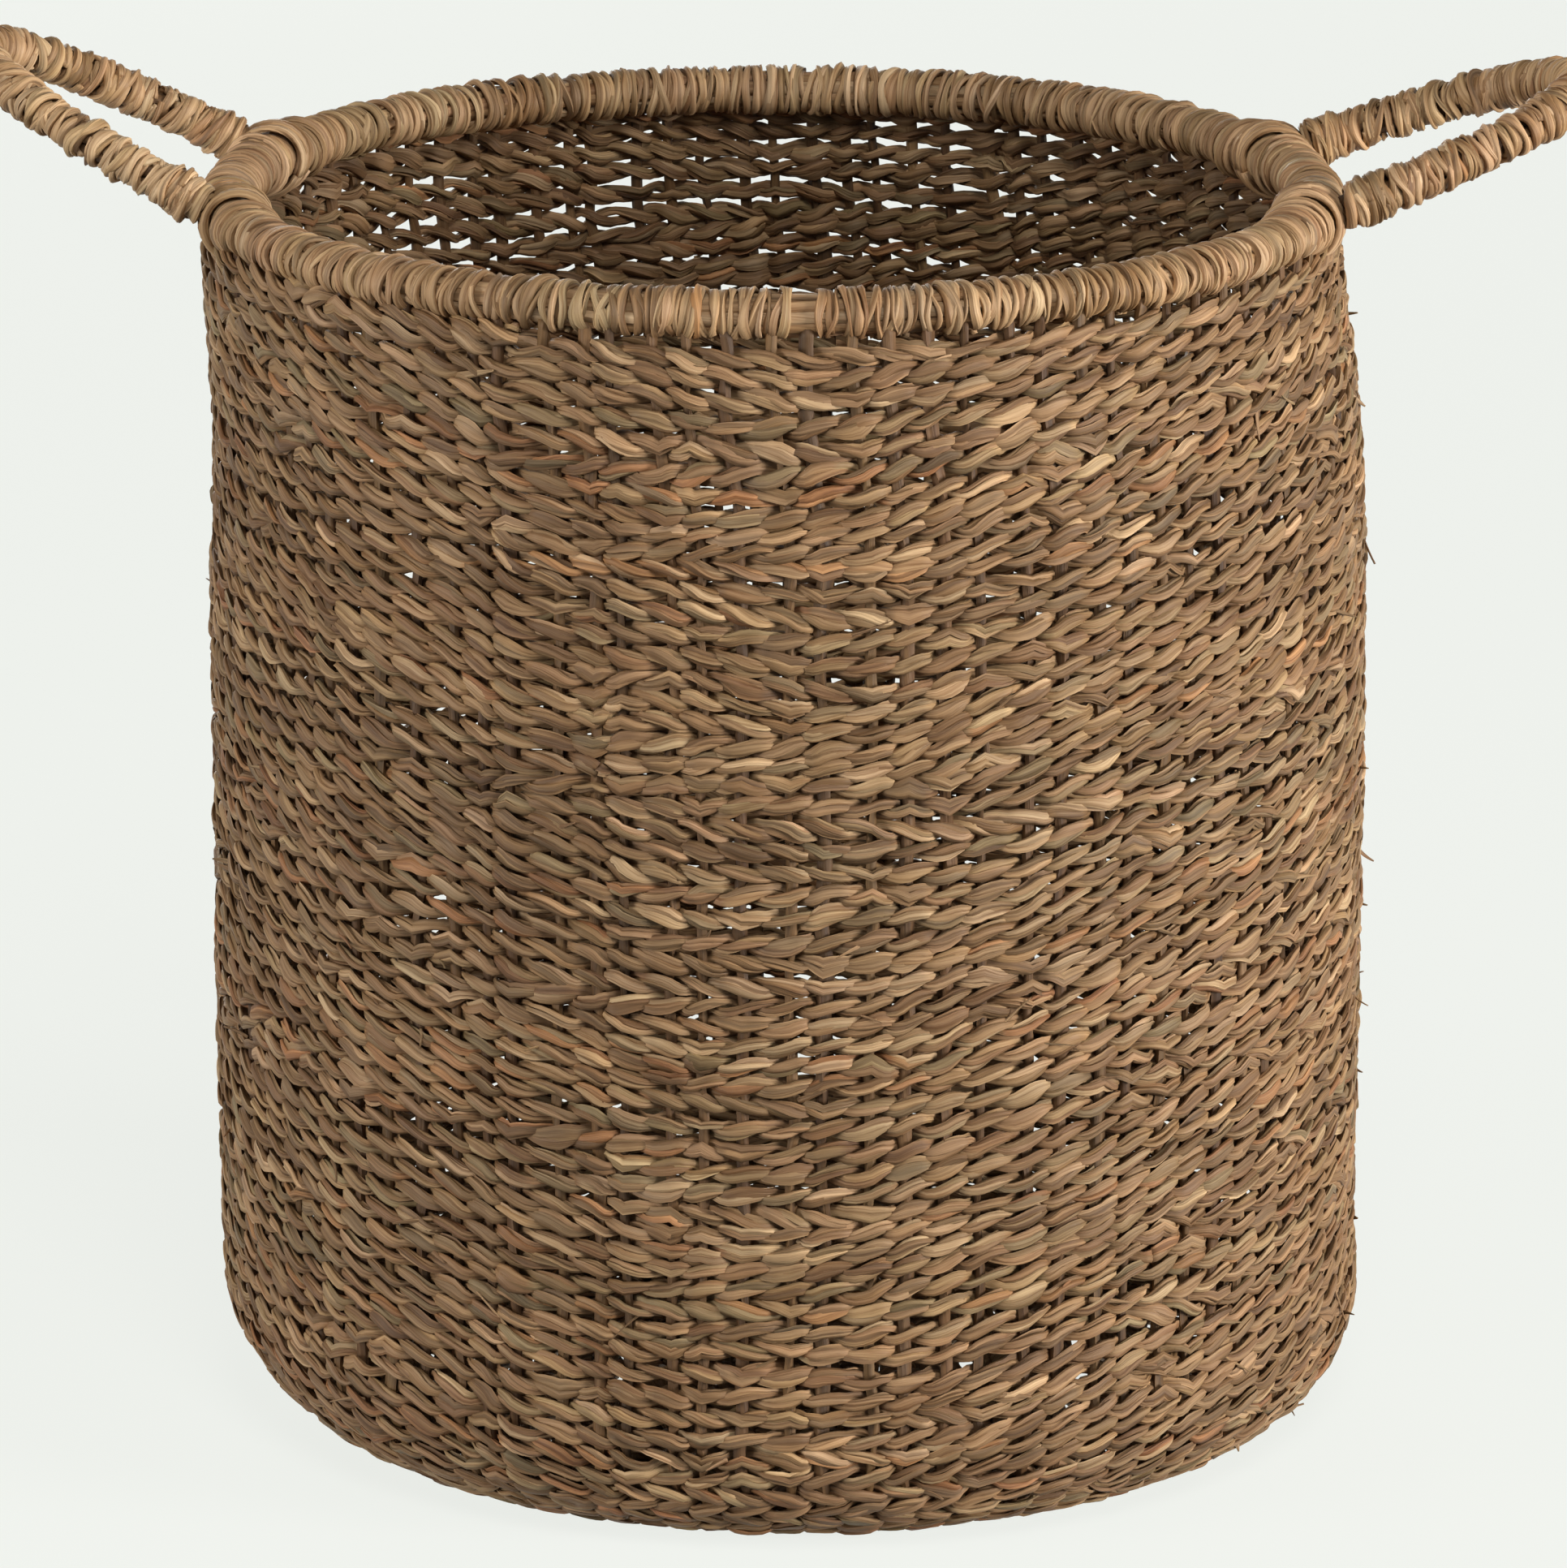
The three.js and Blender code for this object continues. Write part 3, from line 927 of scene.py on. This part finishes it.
class LashingGuide:
    """The hinge line at one foot. Turns round it clear the rim at every swing of the handle."""

    def __init__(self, loop, along):
        self.centre = loop.middle + loop.axis * along
        self.along = along
        self.loop = loop
        self.half_out = loop.lashing_radius - LASHING_INSET
        self.half_up = loop.lashing_radius - LASHING_INSET

    def axes(self, place):
        """The turns lean towards the rim's own centre line, which curves away from the hinge line."""
        along = self.along + place
        rim_reach = np.sqrt(RimGuide.radius**2 - along**2)
        hinge_reach = math.sqrt(RimGuide.radius**2 - self.loop.half_span**2)
        aside = 0.6 * (rim_reach - hinge_reach)
        centre = self.centre + place[:, None] * self.loop.axis + aside[:, None] * self.loop.away
        out = np.broadcast_to(self.loop.out, centre.shape)
        up = np.broadcast_to(self.loop.face, centre.shape)
        return centre, out, up


def handle_wrapping(loop, seed):
    """Close turns all along the loop, turns that slant over them, and raised ones at its feet."""
    strands = Strands(seed)
    rng = strands.rng
    places = np.arange(0, loop.length - HANDLE_PITCH, HANDLE_PITCH)
    places = places + rng.normal(0, 0.25 * MM, len(places))
    places = np.clip(places, 0, loop.length)
    wind(strands, loop, places, 1.5 * HANDLE_PITCH, BINDING_COLOURS, scale=1.1)
    over = np.sort(rng.uniform(0.03, 0.94, HANDLE_OVER_TURNS)) * loop.length
    wind(strands, loop, over, 3.4 * HANDLE_PITCH, BINDING_COLOURS, raised=0.4 * MM)
    for foot in (4 * MM, loop.length - 10 * MM):
        for raised in (0.5 * MM, 1.0 * MM):
            near = foot + rng.uniform(-1, 8, 6) * MM
            wind(strands, loop, near, HANDLE_PITCH, BINDING_COLOURS, raised=raised)
    name = f"{loop.side}_grip_wrapping"
    node = f"{loop.side}_handle_wrap"
    strands.build(name, BINDING_GRASS, f"{loop.side}_handle", [node])


def handle_rope(loop, seed):
    """Twisted strands inside the wrapping."""
    strands = Strands(seed)
    place = np.linspace(0, loop.length, 160)
    centre, out, up = loop.axes(place)
    for index in range(ROPE_STRANDS):
        spin = 2 * math.pi * index / ROPE_STRANDS + place / ROPE_TWIST
        outward = out * np.cos(spin)[:, None] + up * np.sin(spin)[:, None]
        centres = centre + 2.1 * MM * outward
        tint = pick_tint(strands.rng, STAKE_COLOURS_WITH_PAINTED_SHADE)
        strands.add(centres, outward, 2.5 * MM, 2.3 * MM, tint)
    name = f"{loop.side}_grip_rope"
    node = f"{loop.side}_handle_rope"
    strands.build(name, CORE_GRASS, f"{loop.side}_handle", [node])


def handle_lashings(loop, seed):
    """Turns that tie each foot of the loop round the rim, with a second layer over the middle ones."""
    for number, foot in enumerate(("front", "rear")):
        strands = Strands(seed + number)
        along = loop.half_span if foot == "front" else -loop.half_span
        guide = LashingGuide(loop, along)
        places = np.linspace(-LASHING_HALF_LENGTH, LASHING_HALF_LENGTH, LASHING_TURNS)
        wind(strands, guide, places, 0.5 * MM, BINDING_COLOURS, hole=math.pi)
        over = places[1:-1] - 1 * MM
        wind(strands, guide, over, 2.4 * MM, BINDING_COLOURS, scale=0.9, hole=math.pi)
        name = f"{loop.side}_{foot}_foot_lashing"
        node = f"{loop.side}_handle_{foot}_lashing"
        strands.build(name, BINDING_GRASS, f"{loop.side}_handle", [node])


def handles():
    for seed, side, fullness in ((180, "left", 1.0), (190, "right", 0.94)):
        loop = LoopGuide(side, fullness)
        handle_wrapping(loop, seed)
        handle_rope(loop, seed + 1)
        handle_lashings(loop, seed + 2)


# ---- Studio ----


def studio_floor():
    """A round floor that sweeps up into a wall. Its own light doesn't reach the basket."""
    outline = [(0.01, 0), (8.5, 0), (9.5, 0.25), (10, 1.2), (10.2, 7)]
    steps = 64
    points = []
    for radius, height in outline:
        for angle in np.linspace(0, 2 * math.pi, steps, endpoint=False):
            points.append((radius * math.cos(angle), radius * math.sin(angle), height))
    faces = []
    for ring in range(len(outline) - 1):
        for step in range(steps):
            here = ring * steps + step
            following = ring * steps + (step + 1) % steps
            faces.append((here, following, following + steps, here + steps))
    faces.append(tuple(range(steps)))
    mesh = bpy.data.meshes.new("studio_floor")
    mesh.from_pydata(points, [], faces)
    mesh.materials.append(studio_material())
    floor = bpy.data.objects.new("studio_floor", mesh)
    floor.visible_diffuse = False
    bpy.context.scene.collection.objects.link(floor)


def area_light(name, place, size, power, colour):
    """A round soft lamp that points at the middle of the basket."""
    light = bpy.data.lights.new(name, "AREA")
    light.shape = "DISK"
    light.size = size
    light.energy = power
    light.color = colour
    lamp = bpy.data.objects.new(name, light)
    bpy.context.scene.collection.objects.link(lamp)
    lamp.location = place
    aim = Vector((0, 0, RIM_TOP / 2)) - Vector(place)
    lamp.rotation_euler = aim.to_track_quat("-Z", "Y").to_euler()


def lights():
    """A low lamp on each side, the stronger one on the right, one above the front and one behind."""
    warm = (1.0, 0.98, 0.96)
    white = (1.0, 0.99, 0.98)
    area_light("key_light", (3.6, -1.65, 0.62), 1.4, 212, warm)
    area_light("fill_light", (-3.5, -1.7, 0.55), 1.8, 108, white)
    area_light("top_light", (0.4, -2.6, 2.8), 1.4, 58, white)
    area_light("back_light", (-0.8, 3.8, 0.45), 1.8, 55, white)
    world = bpy.data.worlds.new("studio_air")
    bpy.context.scene.world = world
    world.use_nodes = True
    background = world.node_tree.nodes["Background"]
    background.inputs["Color"].default_value = (0.97, 0.985, 1.0, 1)
    background.inputs["Strength"].default_value = 0.1


def camera():
    """Far back and above, looking down past the rim. The shift puts the basket left of the middle."""
    data = bpy.data.cameras.new("camera")
    view = bpy.data.objects.new("camera", data)
    bpy.context.scene.collection.objects.link(view)
    view.location = (0, -2.857, 0.975)
    looking_down = 0.2681
    view.rotation_euler = (math.pi / 2 - looking_down, 0, 0)
    data.sensor_width = 36
    data.lens = 224.05
    data.shift_x = 0.0075
    data.clip_end = 60
    bpy.context.scene.camera = view


camera()
lights()
studio_floor()
woven_start()
woven_base()
woven_wall()
upright_stakes()
loose_ends()
rim_core()
rim_binding()
handles()
bpy.context.scene.view_settings.view_transform = "Standard"
